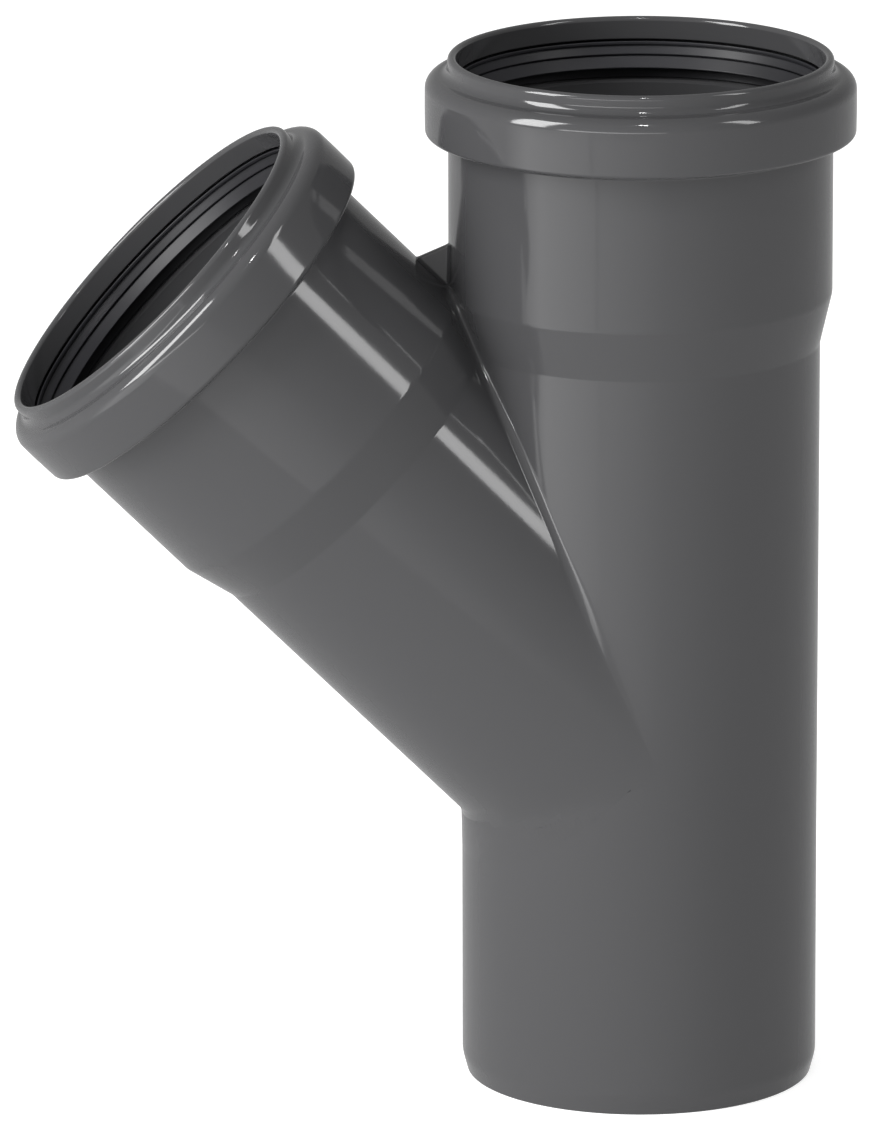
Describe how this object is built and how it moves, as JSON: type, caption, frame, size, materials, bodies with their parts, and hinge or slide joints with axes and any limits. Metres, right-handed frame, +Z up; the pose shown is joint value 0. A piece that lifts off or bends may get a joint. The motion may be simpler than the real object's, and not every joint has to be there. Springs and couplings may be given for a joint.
{
  "type": "lateral wye fitting",
  "caption": "Drain pipe wye: a straight run with a spigot below and a push-fit socket above, and a slanted branch with a second socket; each mouth has a rubber lip seal.",
  "frame": {"origin": "centre of the spigot's end face, on the run's axis", "axes": "+Z up the run towards its socket; the branch leans towards -X in the XZ plane of symmetry"},
  "size_m": [0.1766, 0.0902, 0.2195],
  "materials": {
    "grey_plastic": "satin moulded",
    "black_rubber": "smooth moulded"
  },
  "bodies": {
    "root": {"body": "grey_plastic", "run_seal_ring": "black_rubber", "branch_seal_ring": "black_rubber"}
  },
  "joints": []
}
